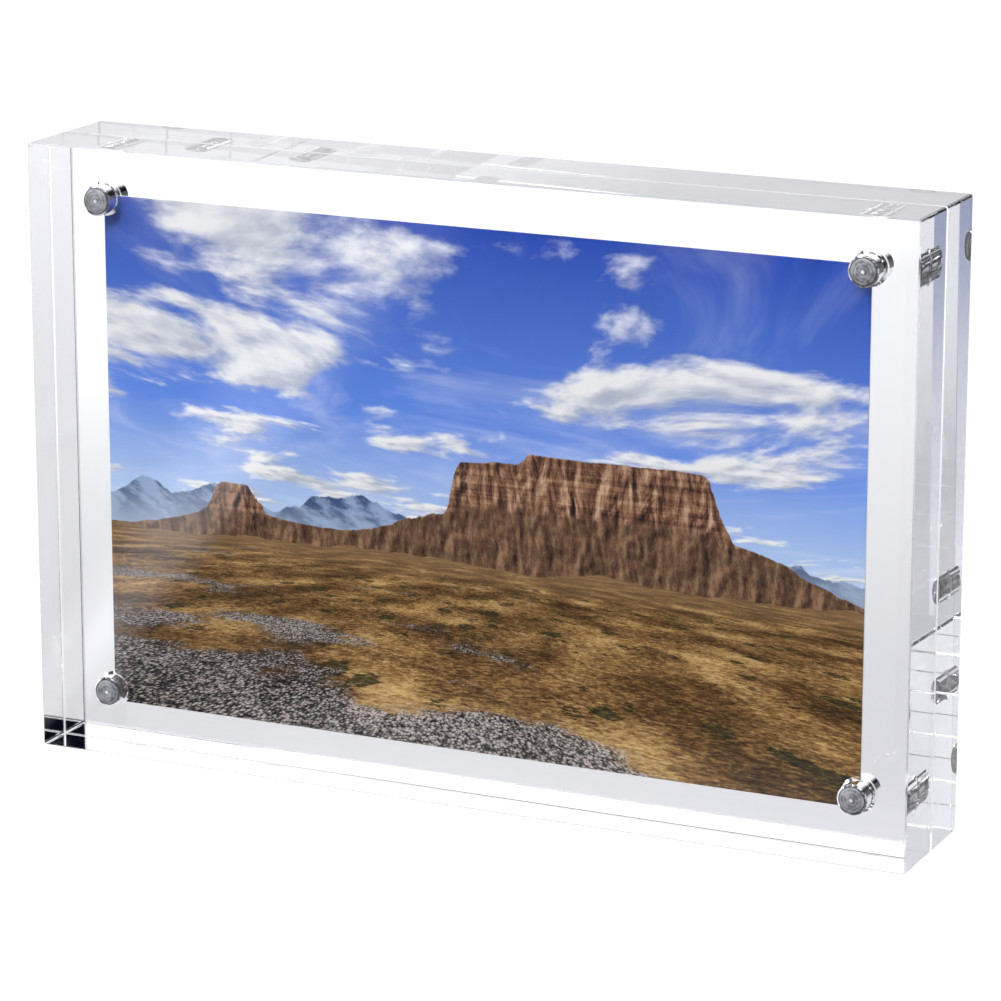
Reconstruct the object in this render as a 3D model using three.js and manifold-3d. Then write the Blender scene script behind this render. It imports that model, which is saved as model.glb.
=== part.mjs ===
// Magnetic photo frame: two equal clear plates that stand on their long edges, face to face. Disc magnets
// set in blind pockets at the corners hold the plates together, with a photo print clamped in the seam.
// Millimetres, +Z up, the picture faces -Y. The origin is on the table, under the middle of the seam.

import * as THREE from "three";
import { mergeVertices } from "three/addons/utils/BufferGeometryUtils.js";
import Module from "manifold-3d";

const wasm = await Module();
wasm.setup();

// Plates
const plateWidth = 162;
const plateHeight = 108;
const plateThickness = 12;
const plateCornerRadius = 1;
const plateBevel = 0.6;

// Photo print, with its centre a little below the centre of the plates
const printWidth = 140.5;
const printHeight = 91;
const printThickness = 0.3;
const printDrop = 0.9;
const printClearance = 0.1;

// Disc magnets: their axes are measured from the plate's edges, their faces from its mating face
const magnetDiameter = 5;
const magnetLength = 3;
const magnetEdgeRadius = 0.3;
const magnetInsetX = 11;
const magnetInsetZ = 10;
const magnetRecess = 0.4;

// Blind pockets drilled for the magnets from the mating face
const pocketClearance = 0.15;
const pocketMouthChamfer = 0.4;
const pocketPointAngle = 150;

// Plug of cured adhesive between the pocket's floor and the magnet
const adhesiveThickness = 1.6;
const adhesiveClearance = 0.05;

// Sides of round pieces, and steps in each rounded corner and edge
const roundSides = 32;
const cornerSteps = 4;
const edgeSteps = 3;

// Half of the air between the plates, which the print fills but for its clearance
const seamHalf = printThickness / 2 + printClearance;

const magnetRadius = magnetDiameter / 2;
const magnetInnerEnd = magnetRecess + magnetLength;
const pocketRadius = magnetRadius + pocketClearance;
const pocketFloor = magnetInnerEnd + adhesiveClearance + adhesiveThickness + adhesiveClearance;
const pointTangent = Math.tan(THREE.MathUtils.degToRad(pocketPointAngle / 2));
const pocketTip = pocketFloor + pocketRadius / pointTangent;

const acrylic = { color: 0xeef1f5, roughness: 0.04, metalness: 0, transparent: true, opacity: 0.25 };
const nickel = { color: 0xc9c9cc, roughness: 0.15, metalness: 1 };
const curedAdhesive = { color: 0xd8d8dc, roughness: 0.45, metalness: 0, transparent: true, opacity: 0.8 };
const photoPaper = { color: 0x8fb0d8, roughness: 0.3, metalness: 0 };

function solidOf(geometry) {
  const bare = geometry.clone();
  bare.deleteAttribute("normal");
  bare.deleteAttribute("uv");
  const merged = mergeVertices(bare, 1e-4);
  const mesh = new wasm.Mesh({
    numProp: 3,
    vertProperties: merged.attributes.position.array,
    triVerts: new Uint32Array(merged.index.array),
  });
  return new wasm.Manifold(mesh);
}

function geometryOf(solid) {
  const mesh = solid.getMesh();
  const geometry = new THREE.BufferGeometry();
  geometry.setAttribute("position", new THREE.BufferAttribute(mesh.vertProperties, 3));
  geometry.setIndex(new THREE.BufferAttribute(mesh.triVerts, 1));
  geometry.computeVertexNormals();
  return geometry;
}

// A rectangle that stands on the table, with rounded corners.
function plateOutline() {
  const side = plateWidth / 2;
  const r = plateCornerRadius;
  const outline = new THREE.Shape();
  outline.moveTo(r - side, 0);
  outline.lineTo(side - r, 0);
  outline.absarc(side - r, r, r, -Math.PI / 2, 0);
  outline.lineTo(side, plateHeight - r);
  outline.absarc(side - r, plateHeight - r, r, 0, Math.PI / 2);
  outline.lineTo(r - side, plateHeight);
  outline.absarc(r - side, plateHeight - r, r, Math.PI / 2, Math.PI);
  outline.lineTo(-side, r);
  outline.absarc(r - side, r, r, Math.PI, 1.5 * Math.PI);
  return outline;
}

// A plate with its mating face at y = 0 and its outer face at y = plateThickness.
function plateBlank() {
  const blank = new THREE.ExtrudeGeometry(plateOutline(), {
    depth: plateThickness - 2 * plateBevel,
    bevelEnabled: true,
    bevelThickness: plateBevel,
    bevelSize: plateBevel,
    bevelOffset: -plateBevel,
    bevelSegments: 1,
    curveSegments: cornerSteps,
  });
  blank.rotateX(Math.PI / 2);
  blank.translate(0, plateThickness - plateBevel, 0);
  return blank;
}

// A round piece on the Y axis, from its profile of [radius, y] points in order of y.
function turned(profile) {
  const points = profile.map(([radius, y]) => new THREE.Vector2(radius, y));
  return new THREE.LatheGeometry(points, roundSides);
}

// The space that the drill takes out: it starts in front of the mating face and ends at the drill's point.
function pocketCutter() {
  const mouthRadius = pocketRadius + 2 * pocketMouthChamfer;
  return turned([
    [0, -pocketMouthChamfer],
    [mouthRadius, -pocketMouthChamfer],
    [pocketRadius, pocketMouthChamfer],
    [pocketRadius, pocketFloor],
    [0, pocketTip],
  ]);
}

// A disc magnet with rounded edges, from y = magnetRecess inwards.
function magnetDisc() {
  const profile = [[0, magnetRecess]];
  const ends = [
    { y: magnetRecess + magnetEdgeRadius, from: -Math.PI / 2 },
    { y: magnetInnerEnd - magnetEdgeRadius, from: 0 },
  ];
  for (const end of ends) {
    for (let step = 0; step <= edgeSteps; step += 1) {
      const angle = end.from + (step / edgeSteps) * (Math.PI / 2);
      const radius = magnetRadius - magnetEdgeRadius + magnetEdgeRadius * Math.cos(angle);
      profile.push([radius, end.y + magnetEdgeRadius * Math.sin(angle)]);
    }
  }
  profile.push([0, magnetInnerEnd]);
  return turned(profile);
}

// The adhesive fills the pocket behind the magnet, up into the drill's point.
function adhesivePlug() {
  const radius = pocketRadius - adhesiveClearance;
  const floor = pocketFloor - adhesiveClearance;
  return turned([
    [0, magnetInnerEnd + adhesiveClearance],
    [radius, magnetInnerEnd + adhesiveClearance],
    [radius, floor],
    [0, floor + radius / pointTangent],
  ]);
}

function piece(name, geometry, finish) {
  const mesh = new THREE.Mesh(geometry, new THREE.MeshStandardMaterial(finish));
  mesh.name = name;
  return mesh;
}

// Where the magnets sit on a plate: sideways is -1 or 1 in the plate's own X.
const magnetX = plateWidth / 2 - magnetInsetX;
const corners = [
  { height: "top", sideways: -1, z: plateHeight - magnetInsetZ },
  { height: "top", sideways: 1, z: plateHeight - magnetInsetZ },
  { height: "bottom", sideways: -1, z: magnetInsetZ },
  { height: "bottom", sideways: 1, z: magnetInsetZ },
];

// One plate with its magnets and adhesive. The front half is the rear half turned half round, so its own
// X runs the other way.
function half(place, turn) {
  const group = new THREE.Group();
  const facing = Math.cos(turn);
  let plate = solidOf(plateBlank());
  for (const corner of corners) {
    const x = corner.sideways * magnetX;
    const hand = corner.sideways * facing < 0 ? "left" : "right";
    const label = `${place}_${corner.height}_${hand}`;
    plate = plate.subtract(solidOf(pocketCutter().translate(x, 0, corner.z)));
    const magnet = piece(`magnet_${label}`, magnetDisc(), nickel);
    magnet.position.set(x, 0, corner.z);
    const adhesive = piece(`adhesive_${label}`, adhesivePlug(), curedAdhesive);
    adhesive.position.set(x, 0, corner.z);
    group.add(magnet, adhesive);
  }
  group.add(piece(`${place}_plate`, geometryOf(plate), acrylic));
  group.rotation.z = turn;
  group.position.y = facing * seamHalf;
  return group;
}

function photoPrint() {
  const sheet = new THREE.BoxGeometry(printWidth, printThickness, printHeight);
  const print = piece("photo_print", sheet, photoPaper);
  print.position.z = plateHeight / 2 - printDrop;
  return print;
}

const frame = new THREE.Group();
frame.add(half("rear", 0), half("front", Math.PI), photoPrint());

export default frame;
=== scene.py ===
import math

import bmesh
import bpy
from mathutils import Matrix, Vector


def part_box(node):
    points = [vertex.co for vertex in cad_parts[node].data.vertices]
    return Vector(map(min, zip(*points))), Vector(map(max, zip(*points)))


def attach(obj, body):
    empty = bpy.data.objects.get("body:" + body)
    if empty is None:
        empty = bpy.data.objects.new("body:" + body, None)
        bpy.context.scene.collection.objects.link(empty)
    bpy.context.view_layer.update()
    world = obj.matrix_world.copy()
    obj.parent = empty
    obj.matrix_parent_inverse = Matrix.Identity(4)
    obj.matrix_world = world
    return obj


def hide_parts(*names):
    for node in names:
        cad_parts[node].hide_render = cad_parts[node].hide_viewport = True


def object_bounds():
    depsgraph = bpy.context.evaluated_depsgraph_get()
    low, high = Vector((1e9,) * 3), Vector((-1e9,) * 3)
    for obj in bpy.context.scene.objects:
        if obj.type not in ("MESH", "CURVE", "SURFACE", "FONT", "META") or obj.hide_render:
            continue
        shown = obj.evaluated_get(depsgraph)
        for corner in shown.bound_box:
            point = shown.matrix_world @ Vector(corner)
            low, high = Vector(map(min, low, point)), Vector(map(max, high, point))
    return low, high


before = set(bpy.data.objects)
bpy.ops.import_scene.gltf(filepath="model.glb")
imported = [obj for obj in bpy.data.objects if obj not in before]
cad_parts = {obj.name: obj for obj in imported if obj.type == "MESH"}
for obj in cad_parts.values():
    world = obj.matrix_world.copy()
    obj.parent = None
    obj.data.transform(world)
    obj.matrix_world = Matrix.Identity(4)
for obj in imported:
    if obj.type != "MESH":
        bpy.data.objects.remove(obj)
cad_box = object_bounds()


# Plates
# Two equal slabs of clear cast acrylic, sawn, bevelled and polished. The bevels of the outer faces are
# scraped to a fine satin. Each mating face has a blind pocket drilled at its corners for a magnet.

MM = 0.001
OUTER_BEVEL = 0.25 * MM
MATING_BEVEL = 0.1 * MM
PLATE_CORNER_RADIUS = 0.5 * MM
CORNER_STEPS = 6
POCKET_CLEARANCE = 0.15 * MM
POCKET_MOUTH_CHAMFER = 0.4 * MM
POCKET_FLOOR_GAP = 0.05 * MM
POCKET_POINT_ANGLE = math.radians(150)
POCKET_RIM = 0.3 * MM
SATIN_SLANT = (0.3, 0.95)
ACRYLIC_IOR = 1.52
DEPTH_TINT = (0.28, 0.3, 0.4)
DEPTH_DENSITY = 1.6
ROUND_SIDES = 96
SMOOTH_ANGLE = math.radians(30)
FLAT_ANGLE = math.radians(5)
TOLERANCE = 0.01 * MM
CORNERS = ("top_left", "top_right", "bottom_left", "bottom_right")
HALF_TURNS = {"rear": 0.0, "front": math.pi}


class Shade:
    """A socket of a node tree. Arithmetic on it adds Math nodes, and node() adds any other node."""

    def __init__(self, tree, socket):
        self.tree = tree
        self.socket = socket

    def node(self, kind, settings=None, inputs=None, output=0):
        """A new node of this tree: its settings come first, then its sockets, by name or number."""
        made = self.tree.nodes.new(kind)
        for name, value in (settings or {}).items():
            if name == "stops":
                self.fill_ramp(made.color_ramp, value)
            else:
                setattr(made, name, value)
        for key, value in (inputs or {}).items():
            self.feed(made.inputs[key], value)
        return Shade(self.tree, made.outputs[output])

    def fill_ramp(self, ramp, stops):
        for place, _ in stops[len(ramp.elements):]:
            ramp.elements.new(place)
        for element, (place, colour) in zip(ramp.elements, stops):
            element.position = place
            element.color = (*colour, 1)

    def feed(self, socket, value):
        if isinstance(value, Shade):
            self.tree.links.new(value.socket, socket)
        elif socket.type == "RGBA":
            socket.default_value = (*value, 1)
        else:
            socket.default_value = value

    def maths(self, operation, *values):
        return self.node("ShaderNodeMath", {"operation": operation}, dict(enumerate(values)))

    def __add__(self, other):
        return self.maths("ADD", self, other)

    def __radd__(self, other):
        return self.maths("ADD", other, self)

    def __sub__(self, other):
        return self.maths("SUBTRACT", self, other)

    def __rsub__(self, other):
        return self.maths("SUBTRACT", other, self)

    def __mul__(self, other):
        return self.maths("MULTIPLY", self, other)

    def __rmul__(self, other):
        return self.maths("MULTIPLY", other, self)

    def __truediv__(self, other):
        return self.maths("DIVIDE", self, other)

    def __rtruediv__(self, other):
        return self.maths("DIVIDE", other, self)

    def at_least(self, limit):
        return self.maths("MAXIMUM", self, limit)

    def axis(self, name):
        """One component of a vector socket."""
        return self.node("ShaderNodeSeparateXYZ", None, {0: self}, name)

    def vector(self, x, y, z):
        return self.node("ShaderNodeCombineXYZ", None, {0: x, 1: y, 2: z})

    def step(self, low, high):
        """0 at low and before it, 1 at high and beyond it, with a smooth change between."""
        ends = {"Value": self, "From Min": low, "From Max": high}
        return self.node("ShaderNodeMapRange", {"interpolation_type": "SMOOTHSTEP"}, ends)

    def mix(self, low, high):
        """The colour low where this is 0, and high where it is 1."""
        return self.node("ShaderNodeMix", {"data_type": "RGBA"}, {0: self, 6: low, 7: high}, 2)

    def ramp(self, *stops):
        """The colours of the stops, each a place from 0 to 1 and a colour."""
        return self.node("ShaderNodeValToRGB", {"stops": stops}, {0: self})

    def noise(self, scale, detail=2.0, roughness=0.5, distortion=0.0):
        """Cloudy values from 0 to 1 at this place."""
        sizes = {"Vector": self, "Scale": scale, "Detail": detail, "Roughness": roughness}
        return self.node("ShaderNodeTexNoise", None, {**sizes, "Distortion": distortion})

    def skyline(self, detail, roughness):
        """Cloudy values from 0 to 1 along one line."""
        sizes = {"W": self, "Scale": 1.0, "Detail": detail, "Roughness": roughness}
        return self.node("ShaderNodeTexNoise", {"noise_dimensions": "1D"}, sizes)


def new_material(name):
    """A node material: returns it, its shader and the piece's own coordinates."""
    material = bpy.data.materials.new(name)
    material.use_nodes = True
    tree = material.node_tree
    place = tree.nodes.new("ShaderNodeTexCoord").outputs["Object"]
    return material, tree.nodes["Principled BSDF"], Shade(tree, place)


def take_up(piece):
    """Makes a piece the only one selected, and the active one."""
    bpy.ops.object.select_all(action="DESELECT")
    piece.select_set(True)
    bpy.context.view_layer.objects.active = piece


def select_edges(piece, chosen):
    """Selects, in edit mode, the edges whose two ends satisfy the test."""
    mesh = bmesh.from_edit_mesh(piece.data)
    for edge in mesh.edges:
        edge.select_set(chosen(*(v.co for v in edge.verts)))
    bmesh.update_edit_mesh(piece.data)


def turned(name, profile):
    """A round closed piece on the Y axis, from its [radius, y] steps. A last radius of 0 is a point."""
    bpy.ops.object.select_all(action="DESELECT")
    radius, y = profile[0]
    upright = (math.pi / 2, 0, 0)
    bpy.ops.mesh.primitive_circle_add(
        vertices=ROUND_SIDES, radius=radius, fill_type="NGON", location=(0, y, 0), rotation=upright
    )
    piece = bpy.context.active_object
    piece.name = name
    bpy.ops.object.transform_apply(location=True, rotation=True, scale=True)
    bpy.ops.object.mode_set(mode="EDIT")
    for next_radius, next_y in profile[1:]:
        bpy.ops.mesh.extrude_region_move(TRANSFORM_OT_translate={"value": (0, next_y - y, 0)})
        if next_radius == 0:
            bpy.ops.mesh.merge(type="CENTER")
            break
        ratio = next_radius / radius
        bpy.ops.transform.resize(value=(ratio, 1, ratio), center_override=(0, next_y, 0))
        radius, y = next_radius, next_y
    bpy.ops.mesh.select_all(action="SELECT")
    bpy.ops.mesh.normals_make_consistent(inside=False)
    bpy.ops.object.mode_set(mode="OBJECT")
    return piece


def put(piece, place):
    """Moves a piece made at the origin to its place, and keeps that place in its mesh."""
    take_up(piece)
    piece.location = place
    bpy.ops.object.transform_apply(location=True, rotation=True, scale=True)


def copied(piece, name, place=(0, 0, 0), turn=0.0):
    """A copy with its own mesh, turned about Z and moved, with both kept in the mesh."""
    take_up(piece)
    bpy.ops.object.duplicate(linked=False)
    made = bpy.context.active_object
    made.name = name
    made.rotation_euler = (0, 0, turn)
    put(made, place)
    return made


def smooth(piece, angle=SMOOTH_ANGLE):
    take_up(piece)
    bpy.ops.object.shade_smooth_by_angle(angle=angle)


def acrylic():
    """Clear acrylic, faintly blue-grey through its length. Its satin bevels scatter the light."""
    material, shader, place = new_material("clear_acrylic")
    satin = place.node("ShaderNodeAttribute", {"attribute_name": "satin"}, None, "Fac")
    haze = place.noise(40.0, 4.0)
    scratches = place.noise(2500.0, 3.0)
    clear = haze.mix((0.985, 0.988, 0.992), (0.995, 0.996, 0.998))
    scraped = scratches.mix((0.50, 0.50, 0.56), (0.62, 0.62, 0.68))
    shader.inputs["Transmission Weight"].default_value = 1.0
    shader.inputs["IOR"].default_value = ACRYLIC_IOR
    place.feed(shader.inputs["Base Color"], satin.mix(clear, scraped))
    place.feed(shader.inputs["Roughness"], haze.step(0.62, 0.8) * 0.01 + satin * (scratches * 0.2 + 0.2))
    depth = place.node("ShaderNodeVolumeAbsorption", None, {"Color": DEPTH_TINT, "Density": DEPTH_DENSITY})
    place.feed(material.node_tree.nodes["Material Output"].inputs["Volume"], depth)
    return material


def pocket_profile():
    """The drilled pocket's [radius, y] steps from just outside the mating face to the drill's point."""
    magnet_low, magnet_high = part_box("magnet_rear_top_left")
    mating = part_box("rear_plate")[0].y
    radius = (magnet_high.x - magnet_low.x) / 2 + POCKET_CLEARANCE
    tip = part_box("adhesive_rear_top_left")[1].y + POCKET_FLOOR_GAP
    floor = tip - (radius - POCKET_RIM) / math.tan(POCKET_POINT_ANGLE / 2)
    return [
        (radius + 2 * POCKET_MOUTH_CHAMFER, mating - POCKET_MOUTH_CHAMFER),
        (radius, mating + POCKET_MOUTH_CHAMFER),
        (radius, floor - POCKET_RIM),
        (radius - POCKET_RIM, floor),
        (0, tip),
    ]


def axis_of(node):
    """Where a round node's own axis crosses the seam plane."""
    low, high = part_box(node)
    return Vector(((low.x + high.x) / 2, 0, (low.z + high.z) / 2))


def mark_satin(piece, outer):
    """Marks the bevels beside the outer face, which is at that y, for the material."""
    satin = piece.data.attributes.new("satin", "FLOAT", "FACE")
    least, most = SATIN_SLANT
    for face in piece.data.polygons:
        slanted = least < abs(face.normal.y) < most
        satin.data[face.index].value = float(slanted and abs(face.center.y - outer) < OUTER_BEVEL)


low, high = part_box("rear_plate")
bpy.ops.object.select_all(action="DESELECT")
bpy.ops.mesh.primitive_cube_add(size=1)
slab = bpy.context.active_object
slab.scale = high - low
put(slab, (low + high) / 2)
bpy.ops.object.mode_set(mode="EDIT")
bpy.ops.mesh.select_mode(type="EDGE")
select_edges(slab, lambda a, b: abs(a.y - b.y) > TOLERANCE)
bpy.ops.mesh.bevel(offset=PLATE_CORNER_RADIUS, segments=CORNER_STEPS, affect="EDGES")
for face_y, offset in ((high.y, OUTER_BEVEL), (low.y, MATING_BEVEL)):
    select_edges(slab, lambda a, b: max(abs(a.y - face_y), abs(b.y - face_y)) < TOLERANCE)
    bpy.ops.mesh.bevel(offset=offset, segments=1, affect="EDGES")
bpy.ops.object.mode_set(mode="OBJECT")

pocket = turned("pocket", pocket_profile())
for corner in CORNERS:
    cutter = copied(pocket, "pocket_cutter", axis_of(f"magnet_rear_{corner}"))
    drill = slab.modifiers.new("drill", "BOOLEAN")
    drill.object = cutter
    take_up(slab)
    bpy.ops.object.modifier_apply(modifier=drill.name)
    bpy.data.objects.remove(cutter)
bpy.data.objects.remove(pocket)
mark_satin(slab, high.y)
smooth(slab, FLAT_ANGLE)
slab.data.materials.append(acrylic())
for half, turn in HALF_TURNS.items():
    plate = copied(slab, f"{half}_plate_acrylic", turn=turn)
    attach(plate, f"{half}_half")
    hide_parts(f"{half}_plate")
bpy.data.objects.remove(slab)


# Adhesive
# A drop of silvery adhesive put into each pocket before its magnet, and cured under it. It wets the cone
# that the drill left, so its face shows the drill's rings, and it stops short of the pocket's wall.
# A painted highlight lies on the centre of its face, and painted shade darkens its edge.

PLUG_WET = 0.02 * MM
DRILL_RING = 0.6 * MM
# The radius of the painted highlight on the centre of the plug's face.
GLINT_RADIUS = 0.4 * MM
RIPPLE_DEPTH = 0.03 * MM


def mark_axis(piece):
    """Keeps each point's place about the axis of a piece made at the origin, for its material."""
    kept = piece.data.attributes.new("from_axis", "FLOAT_VECTOR", "POINT")
    for point, vertex in zip(kept.data, piece.data.vertices):
        point.vector = vertex.co


def cured_adhesive(edge):
    material, shader, place = new_material("cured_adhesive")
    about = place.node("ShaderNodeAttribute", {"attribute_name": "from_axis"}, None, "Vector")
    flat = about.vector(about.axis("X"), 0.0, about.axis("Z"))
    radius = flat.node("ShaderNodeVectorMath", {"operation": "LENGTH"}, {0: flat}, "Value")
    turns = radius * (2 * math.pi / DRILL_RING)
    rings = turns.maths("SINE", turns)
    cloud = place.noise(800.0, 6.0, 0.7)
    # Painted highlight: a matt, near-white spot at the centre of the face stands in for the key light's
    # glint.
    glint = radius.step(GLINT_RADIUS, GLINT_RADIUS * 0.5)
    grey = (cloud + rings * 0.05).step(0.3, 0.7).mix((0.08, 0.08, 0.095), (0.42, 0.42, 0.445))
    # Painted shade: the face turns near black at its edge, standing in for the shadow in the gap by the
    # pocket's wall.
    grey = radius.step(edge * 0.9, edge * 0.96).mix(grey, (0.03, 0.03, 0.04))
    grey = glint.mix(grey, (0.8, 0.8, 0.82))
    relief = {"Strength": 0.15, "Distance": RIPPLE_DEPTH, "Height": rings}
    ripple = rings.node("ShaderNodeBump", None, relief)
    place.feed(shader.inputs["Base Color"], grey)
    place.feed(shader.inputs["Roughness"], cloud * 0.25 + 0.35)
    place.feed(shader.inputs["Metallic"], 0.2 - glint * 0.2)
    shader.inputs["Specular IOR Level"].default_value = 0.2
    place.feed(shader.inputs["Normal"], ripple)
    return material


low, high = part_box("adhesive_rear_top_left")
plug_radius = pocket_profile()[3][0]
tip = high.y + POCKET_FLOOR_GAP + PLUG_WET
cone_foot = tip - plug_radius / math.tan(POCKET_POINT_ANGLE / 2)
plug = turned("plug", [(plug_radius, low.y), (plug_radius, cone_foot), (0, tip)])
mark_axis(plug)
smooth(plug)
plug.data.materials.append(cured_adhesive(plug_radius))
for half, turn in HALF_TURNS.items():
    for corner in CORNERS:
        node = f"adhesive_{half}_{corner}"
        drop = copied(plug, f"{node}_plug", axis_of(node), turn)
        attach(drop, f"{half}_half")
        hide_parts(node)
bpy.data.objects.remove(plug)


# Magnets
# Sintered disc magnets with rounded edges and bright nickel plating, pushed into the pockets onto the
# adhesive. Those of the front plate meet those of the rear plate across the seam, and hold the plates.

MAGNET_EDGE_RADIUS = 0.3 * MM
MAGNET_EDGE_STEPS = 5


def nickel():
    material, shader, place = new_material("nickel_plating")
    wear = place.noise(1500.0, 4.0, 0.6)
    place.feed(shader.inputs["Base Color"], wear.mix((0.66, 0.65, 0.64), (0.78, 0.77, 0.76)))
    place.feed(shader.inputs["Roughness"], wear * 0.08 + 0.02)
    shader.inputs["Metallic"].default_value = 1.0
    return material


low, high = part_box("magnet_rear_top_left")
magnet_radius = (high.x - low.x) / 2
magnet = turned("magnet", [(magnet_radius, low.y), (magnet_radius, high.y)])
bpy.ops.object.mode_set(mode="EDIT")
bpy.ops.mesh.select_mode(type="EDGE")
select_edges(magnet, lambda a, b: abs(a.y - b.y) < TOLERANCE)
bpy.ops.mesh.bevel(offset=MAGNET_EDGE_RADIUS, segments=MAGNET_EDGE_STEPS, affect="EDGES")
bpy.ops.object.mode_set(mode="OBJECT")
smooth(magnet)
magnet.data.materials.append(nickel())
for half, turn in HALF_TURNS.items():
    for corner in CORNERS:
        node = f"magnet_{half}_{corner}"
        disc = copied(magnet, f"{node}_disc", axis_of(node), turn)
        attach(disc, f"{half}_half")
        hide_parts(node)
bpy.data.objects.remove(magnet)


# Photo print
# A sheet of glossy photo paper, printed to its edges on the front and plain white behind. Nothing but the
# plates holds it: its corners lie between the magnets. The picture is a made-up landscape.

PAPER_EDGE = 0.04 * MM
HORIZON = 0.36


def sky(aside, up):
    """Deep blue air with clouds that draw together towards the horizon."""
    far = 1 / ((up - HORIZON).at_least(0.0) + 0.16)
    drift = aside.vector(aside * far + 3.1, far * 1.35, 0.7)
    lit_side = aside.vector(aside * far + 3.04, far * 1.35 - 0.07, 0.7)
    puffs = drift.noise(1.35, 10.0, 0.56, 0.25)
    glow = (puffs - lit_side.noise(1.35, 10.0, 0.56, 0.25)) * 5.0 + 0.62
    cloud = (puffs + (drift.noise(0.5, 2.0) - 0.5) * 0.55).step(0.5, 0.6)
    veil = drift.noise(0.9, 6.0, 0.6, 1.2).step(0.45, 0.8) * 0.45
    low_air = ((0.30, (0.80, 0.88, 0.96)), (0.42, (0.50, 0.66, 0.92)))
    air = up.ramp(*low_air, (0.62, (0.12, 0.26, 0.76)), (1.0, (0.025, 0.07, 0.40)))
    lit = glow.step(0.2, 1.0).mix((0.50, 0.54, 0.64), (1.0, 1.0, 1.0))
    return cloud.mix(veil.mix(air, (0.86, 0.91, 1.0)), lit)


def far_range(aside, up):
    """A far range, blue with distance: where it stands, and its colour."""
    crest = ((aside * 1.7 + 21.0).skyline(8.0, 0.5) - 0.28) * 0.38
    ribs = aside.vector(aside * 9 + up * 10, up * 12, 2.0).noise(1.6, 9.0, 0.6)
    ribs_lit = aside.vector(aside * 9 + up * 10 + 0.2, up * 12 - 0.1, 2.0).noise(1.6, 9.0, 0.6)
    colour = ((ribs - ribs_lit) * 5.0 + 0.5).step(0.0, 1.0).mix((0.045, 0.085, 0.20), (0.30, 0.40, 0.60))
    hazy = (up - HORIZON).step(0.10, 0.0) * 0.8
    return (up - crest).step(HORIZON + 0.002, HORIZON - 0.002), hazy.mix(colour, (0.40, 0.49, 0.63))


def flat_hill(aside, across, up):
    """A flat-topped hill, a banded cliff over slopes of scree: where it stands, and its colour."""
    rough = (aside * 7.0 + 4.0).skyline(9.0, 0.6)
    edge = across + (rough - 0.5) * 0.07
    table = edge.step(0.45, 0.485) * 0.085 + edge.step(0.56, 0.58) * 0.022 - edge.step(0.79, 0.85) * 0.107
    butte = edge.step(0.14, 0.165) * edge.step(0.225, 0.195) * 0.05
    slope = edge.step(0.22, 0.54) * edge.step(1.06, 0.78) * 0.12
    slope = slope + edge.step(0.0, 0.17) * edge.step(0.38, 0.19) * 0.055
    top = slope + table + butte + (rough - 0.5) * 0.012
    flutes = aside.vector(aside * 40.0, up * 13.0, 5.0).noise(0.9, 9.0, 0.66, 0.6)
    flutes_lit = aside.vector(aside * 40.0 - 0.3, up * 13.0 + 0.12, 5.0).noise(0.9, 9.0, 0.66, 0.6)
    bands = aside.vector(aside * 2.0, up * 75.0, 5.0).noise(1.0, 4.0, 0.65)
    dark_rock = ((0.28, (0.016, 0.010, 0.009)), (0.43, (0.11, 0.05, 0.03)))
    light_rock = ((0.55, (0.29, 0.15, 0.085)), (0.75, (0.62, 0.42, 0.28)))
    cliff = (bands * 0.5 + (flutes_lit - flutes) * 1.3 + 0.25).ramp(*dark_rock, *light_rock)
    gully = aside.vector(aside * 34.0, up * 13.0, 8.0).noise(0.8, 10.0, 0.68)
    gully_lit = aside.vector(aside * 34.0 - 0.25, up * 13.0 + 0.12, 8.0).noise(0.8, 10.0, 0.68)
    rubble = (gully_lit - gully) * 2.6 + 0.5
    dark_rubble = ((0.15, (0.03, 0.017, 0.012)), (0.5, (0.135, 0.070, 0.040)))
    scree = rubble.ramp(*dark_rubble, (0.85, (0.31, 0.185, 0.105)))
    foot = (up - HORIZON - slope + (rubble - 0.5) * 0.02).step(0.012, -0.012)
    return (up - top).step(HORIZON + 0.0015, HORIZON - 0.0015), foot.mix(cliff, scree)


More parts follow.
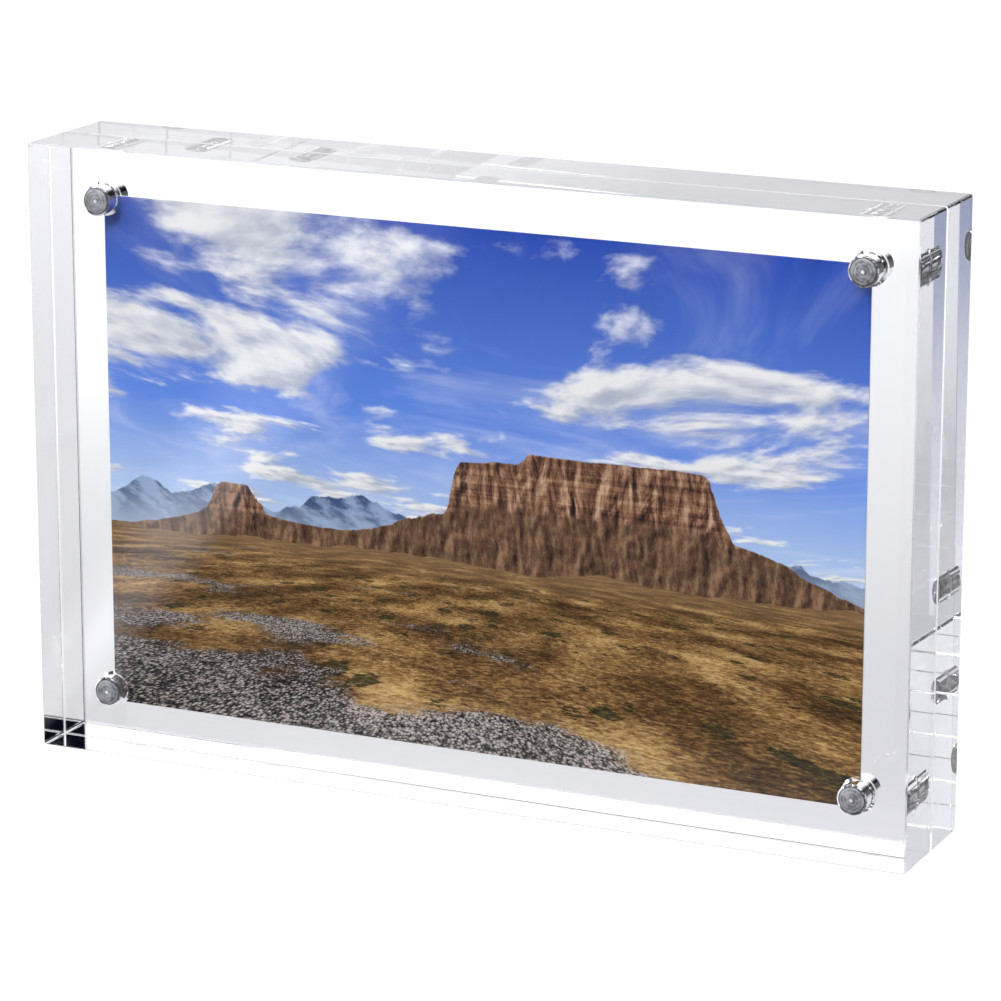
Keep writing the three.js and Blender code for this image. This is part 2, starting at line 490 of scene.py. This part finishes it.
def plain(aside, up):
    """A plain of dry grass with low shrubs and beds of grey gravel: where it lies, and its colour."""
    brow = HORIZON + ((aside * 2.6 + 30.0).skyline(7.0, 0.55) - 0.45) * 0.07
    near = (HORIZON + 0.035 - up).at_least(0.0) + 0.012
    depth = 1 / near
    ground = aside.vector(aside * depth, depth * 0.62, 1.0)
    blades = aside.vector(aside * depth * 5.0, depth * 4.0 + up * 30, 1.0)
    patches = ground.noise(0.9, 6.0, 0.62)
    tufts = blades.noise(3.4, 9.0, 0.75)
    dark_grass = ((0.22, (0.016, 0.009, 0.005)), (0.42, (0.105, 0.052, 0.019)))
    dry_grass = ((0.56, (0.30, 0.165, 0.055)), (0.78, (0.68, 0.47, 0.20)))
    colour = ((patches - 0.5) * 1.1 + (tufts - 0.5) * 1.3 + 0.48).ramp(*dark_grass, *dry_grass)
    cells = {"Vector": ground, "Scale": 2.9}
    bush = ground.node("ShaderNodeTexVoronoi", None, cells)
    size = ground.node("ShaderNodeTexVoronoi", None, cells, 1).axis("X")
    leaf = (bush + (tufts - 0.5) * 0.8 - size * 0.42).step(0.06, -0.04) * 0.9
    colour = leaf.mix(colour, tufts.step(0.35, 0.75).mix((0.010, 0.010, 0.005), (0.12, 0.10, 0.035)))
    beds = aside.vector(aside * depth * 0.8, depth * 1.1, 9.0).noise(0.6, 6.0, 0.6)
    bed = (beds + near * 0.75 - aside * 0.12 + (tufts - 0.5) * 0.25).step(0.74, 0.80)
    stones = {"Vector": ground, "Scale": 58.0}
    gaps = ground.node("ShaderNodeTexVoronoi", None, stones).step(0.2, 0.7)
    tones = ground.node("ShaderNodeTexVoronoi", None, stones, 1).axis("X")
    grit = tones * 0.6 + patches * 0.9 + tufts * 0.6 - gaps * 0.5 - 0.45
    colour = bed.mix(colour, grit.step(0.0, 1.0).mix((0.016, 0.013, 0.013), (0.62, 0.55, 0.52)))
    hazy = near.step(0.10, 0.03) * 0.65
    return (up - brow).step(0.001, -0.001), hazy.mix(colour, (0.25, 0.155, 0.075))


def photo_paper(low, high):
    material, shader, place = new_material("photo_paper")
    across = (place.axis("X") - low.x) / (high.x - low.x)
    up = (place.axis("Z") - low.z) / (high.z - low.z)
    aside = (across - 0.5) * ((high.x - low.x) / (high.z - low.z))
    picture = sky(aside, up)
    for where, colour in (far_range(aside, up), flat_hill(aside, across, up), plain(aside, up)):
        picture = where.mix(picture, colour)
    fibre = place.noise(1800.0, 3.0)
    paper = fibre.mix((0.90, 0.90, 0.89), (0.95, 0.95, 0.94))
    printed = place.axis("Y").step(low.y + 0.5 * PAPER_EDGE, low.y + 0.25 * PAPER_EDGE)
    place.feed(shader.inputs["Base Color"], printed.mix(paper, picture))
    place.feed(shader.inputs["Roughness"], fibre * 0.1 + 0.5 - printed * 0.3)
    shader.inputs["Specular IOR Level"].default_value = 0.2
    return material


low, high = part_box("photo_print")
bpy.ops.object.select_all(action="DESELECT")
bpy.ops.mesh.primitive_cube_add(size=1)
sheet = bpy.context.active_object
sheet.name = "photo_print_sheet"
sheet.scale = high - low
put(sheet, (low + high) / 2)
bpy.ops.object.mode_set(mode="EDIT")
bpy.ops.mesh.select_all(action="SELECT")
bpy.ops.mesh.bevel(offset=PAPER_EDGE, segments=2, affect="EDGES")
bpy.ops.object.mode_set(mode="OBJECT")
smooth(sheet, FLAT_ANGLE)
sheet.data.materials.append(photo_paper(low, high))
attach(sheet, "print")
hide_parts("photo_print")


# Studio
# A pale table and room, which the camera sees plain white. What the clear pieces mirror and bend is toned:
# bright behind and on the left, dark on the right and on a card in front, with a key light high in front.
# The table's glow holds painted shade: a soft painted shadow of the object behind it and to its right,
# painted shade under and in front of it, and the card, a dark patch painted into the glow.

FLOOR_SIZE = 12.0
FLOOR_DROP = 0.2 * MM
SEEN_WHITE = (1.1, 1.1, 1.1)
BEHIND_SHADOW_TONES = ((0.87, 0.87, 0.9), (1.12, 1.12, 1.15))
RIGHT_SHADOW_TONES = ((0.85, 0.85, 0.89), (1.1, 1.1, 1.14))
LEFT_TONES = ((0.96, 0.96, 0.99), (1.32, 1.32, 1.36))
UNDER_SHADE_TONES = ((0.85, 0.85, 0.88), (0.1, 0.1, 0.11))
FRONT_SHADE_TONE = (0.55, 0.55, 0.57)
CARD_TONES = ((0.03, 0.03, 0.04), (0.35, 0.35, 0.36))
LANE_TONES = ((1.2, 1.2, 1.28), (0.5, 0.55, 0.78))
DARK_SIDE_TONES = ((0.12, 0.12, 0.13), (0.5, 0.5, 0.52))
BLOCK_DEPTH = (0.0122, 0.0135)
CARD_START = 0.012
CARD_SLOPES = (0.615, 0.33)
LANE_SLOPE = 0.348
LANE_START = -0.083
DARK_SIDE_SLOPE = 0.3
WALL_TONE = (1.3, 1.3, 1.33)
CEILING_TONE = (0.4, 0.4, 0.42)
FRONT_WALL_TONE = (0.12, 0.12, 0.14)
FLAG_TONE = (0.002, 0.002, 0.008)
STRIP_TONE = (0.9, 0.9, 0.92)
KEY_TONE = (27.0, 27.0, 27.0)
FRONT_WALL = (0.15, -0.98, 0.1)
KEY_LIGHT = Vector((-0.4, -0.65, 0.64)).normalized()
CAMERA_AZIMUTH = math.radians(25.21)
CAMERA_ELEVATION = math.radians(14.76)
CAMERA_DISTANCE = 734.7 * MM
CAMERA_PAN = (2.54 * MM, -3.06 * MM)
CLIP_START = 10 * MM
LENS_MM = 156.33
SENSOR_MM = 36.0
CLEAR_BOUNCES = 48
DIFFUSE_BOUNCES = 4


def table_tones(x, y):
    """What the table gives off to the pieces, from zone to zone, with painted shadow and shade around the
    object.
    """
    inner, outer = BLOCK_DEPTH
    # Painted shadow of the object: the glow is dimmer close behind it and on its right and left, brighter
    # further off.
    glow = y.step(0.0, 0.45).mix(*BEHIND_SHADOW_TONES)
    glow = x.step(0.0, 0.06).mix(glow, y.step(0.1, 0.6).mix(*RIGHT_SHADOW_TONES))
    glow = x.step(-0.08, -0.11).mix(glow, y.step(0.08, 0.32).mix(*LEFT_TONES))
    # Painted shade under the block, deepening from the left towards the right.
    glow = y.step(outer, inner).mix(glow, x.step(-0.07, 0.01).mix(*UNDER_SHADE_TONES))
    # Painted shade in front of the block, and the card, a dark patch painted into the glow, less dark
    # close to it.
    front = y.step(-inner, -outer)
    glow = front.mix(glow, FRONT_SHADE_TONE)
    away = (-CARD_START - y).at_least(0.0)
    left, right = (x + slope * away for slope in CARD_SLOPES)
    card = front * left.step(-0.087, -0.083) * right.step(0.1, 0.088) * away.step(0.62, 0.5)
    near = away.step(0.06, 0.0) * x.step(-0.06, -0.04)
    glow = card.mix(glow, near.mix(*CARD_TONES))
    # A painted strip along the lane, pale near the block and blue-grey further in front.
    beside = x - LANE_SLOPE * y - LANE_START
    lane = (beside.maths("ABSOLUTE", beside) / (0.003 - 0.035 * y)).step(1.6, 0.6) * front
    glow = lane.mix(glow, y.step(-0.08, -0.4).mix(*LANE_TONES))
    # Painted shade right of the object, a little less dark from about 5 to 20 cm behind it.
    dark_side = (x - DARK_SIDE_SLOPE * y.at_least(0.0)).step(0.078, 0.09) * y.step(-0.03, 0.0)
    paler = y.step(0.03, 0.08) * y.step(0.25, 0.15)
    return dark_side.mix(glow, paler.mix(*DARK_SIDE_TONES))


def cone(direction, towards, outer, inner):
    """1 within the inner angle of a direction and 0 beyond the outer one, in degrees."""
    ends = {0: direction, 1: tuple(towards)}
    near = direction.node("ShaderNodeVectorMath", {"operation": "DOT_PRODUCT"}, ends, "Value")
    return near.step(math.cos(math.radians(outer)), math.cos(math.radians(inner)))


def room_tones(direction):
    """What the room gives off to the pieces, from one direction to the next."""
    x, y, height = (direction.axis(name) for name in "XYZ")
    light = height.step(0.8, 0.92).mix(WALL_TONE, CEILING_TONE)
    light = cone(direction, FRONT_WALL, 32, 18).mix(light, FRONT_WALL_TONE)
    flag = (x - 0.15 * y.at_least(0.0)).step(-0.06, 0.2) * (height + 0.15 * y).step(0.72, 0.62)
    light = flag.mix(light, FLAG_TONE)
    strip = height.step(0.23, 0.17) * x.step(0.02, 0.12) * y.step(-0.55, -0.7)
    light = strip.mix(light, STRIP_TONE)
    key = cone(direction, KEY_LIGHT, 45, 35) * height.step(0.585, 0.62) * height.step(0.83, 0.78)
    return key.mix(light, KEY_TONE)


bpy.ops.object.select_all(action="DESELECT")
bpy.ops.mesh.primitive_plane_add(size=FLOOR_SIZE, location=(0, 0, -FLOOR_DROP))
floor = bpy.context.active_object
floor.name = "studio_floor"
material, shader, place = new_material("white_table")
seen = place.node("ShaderNodeLightPath", None, None, "Is Camera Ray")
glow = table_tones(place.axis("X"), place.axis("Y"))
shader.inputs["Base Color"].default_value = (0.0, 0.0, 0.0, 1)
shader.inputs["Specular IOR Level"].default_value = 0.0
place.feed(shader.inputs["Emission Color"], seen.mix(glow, SEEN_WHITE))
shader.inputs["Emission Strength"].default_value = 1.0
floor.data.materials.append(material)

world = bpy.data.worlds.new("studio")
bpy.context.scene.world = world
world.use_nodes = True
tree = world.node_tree
direction = Shade(tree, tree.nodes.new("ShaderNodeTexCoord").outputs["Generated"])
seen = direction.node("ShaderNodeLightPath", None, None, "Is Camera Ray")
background = tree.nodes["Background"]
direction.feed(background.inputs["Color"], seen.mix(room_tones(direction), SEEN_WHITE))
background.inputs["Strength"].default_value = 1.0

camera_data = bpy.data.cameras.new("camera")
camera_data.lens = LENS_MM
camera_data.sensor_width = SENSOR_MM
camera_data.clip_start = CLIP_START
camera = bpy.data.objects.new("camera", camera_data)
bpy.context.scene.collection.objects.link(camera)
low, high = cad_box
back = Vector((
    math.sin(CAMERA_AZIMUTH) * math.cos(CAMERA_ELEVATION),
    -math.cos(CAMERA_AZIMUTH) * math.cos(CAMERA_ELEVATION),
    math.sin(CAMERA_ELEVATION),
))
turn = back.to_track_quat("Z", "Y")
right, up = turn @ Vector((1, 0, 0)), turn @ Vector((0, 1, 0))
target = (low + high) / 2 + right * CAMERA_PAN[0] + up * CAMERA_PAN[1]
camera.location = target + back * CAMERA_DISTANCE
camera.rotation_euler = turn.to_euler()
bpy.context.scene.camera = camera

scene = bpy.context.scene
scene.view_settings.view_transform = "Standard"
scene.cycles.max_bounces = CLEAR_BOUNCES
scene.cycles.glossy_bounces = CLEAR_BOUNCES
scene.cycles.transmission_bounces = CLEAR_BOUNCES
scene.cycles.diffuse_bounces = DIFFUSE_BOUNCES
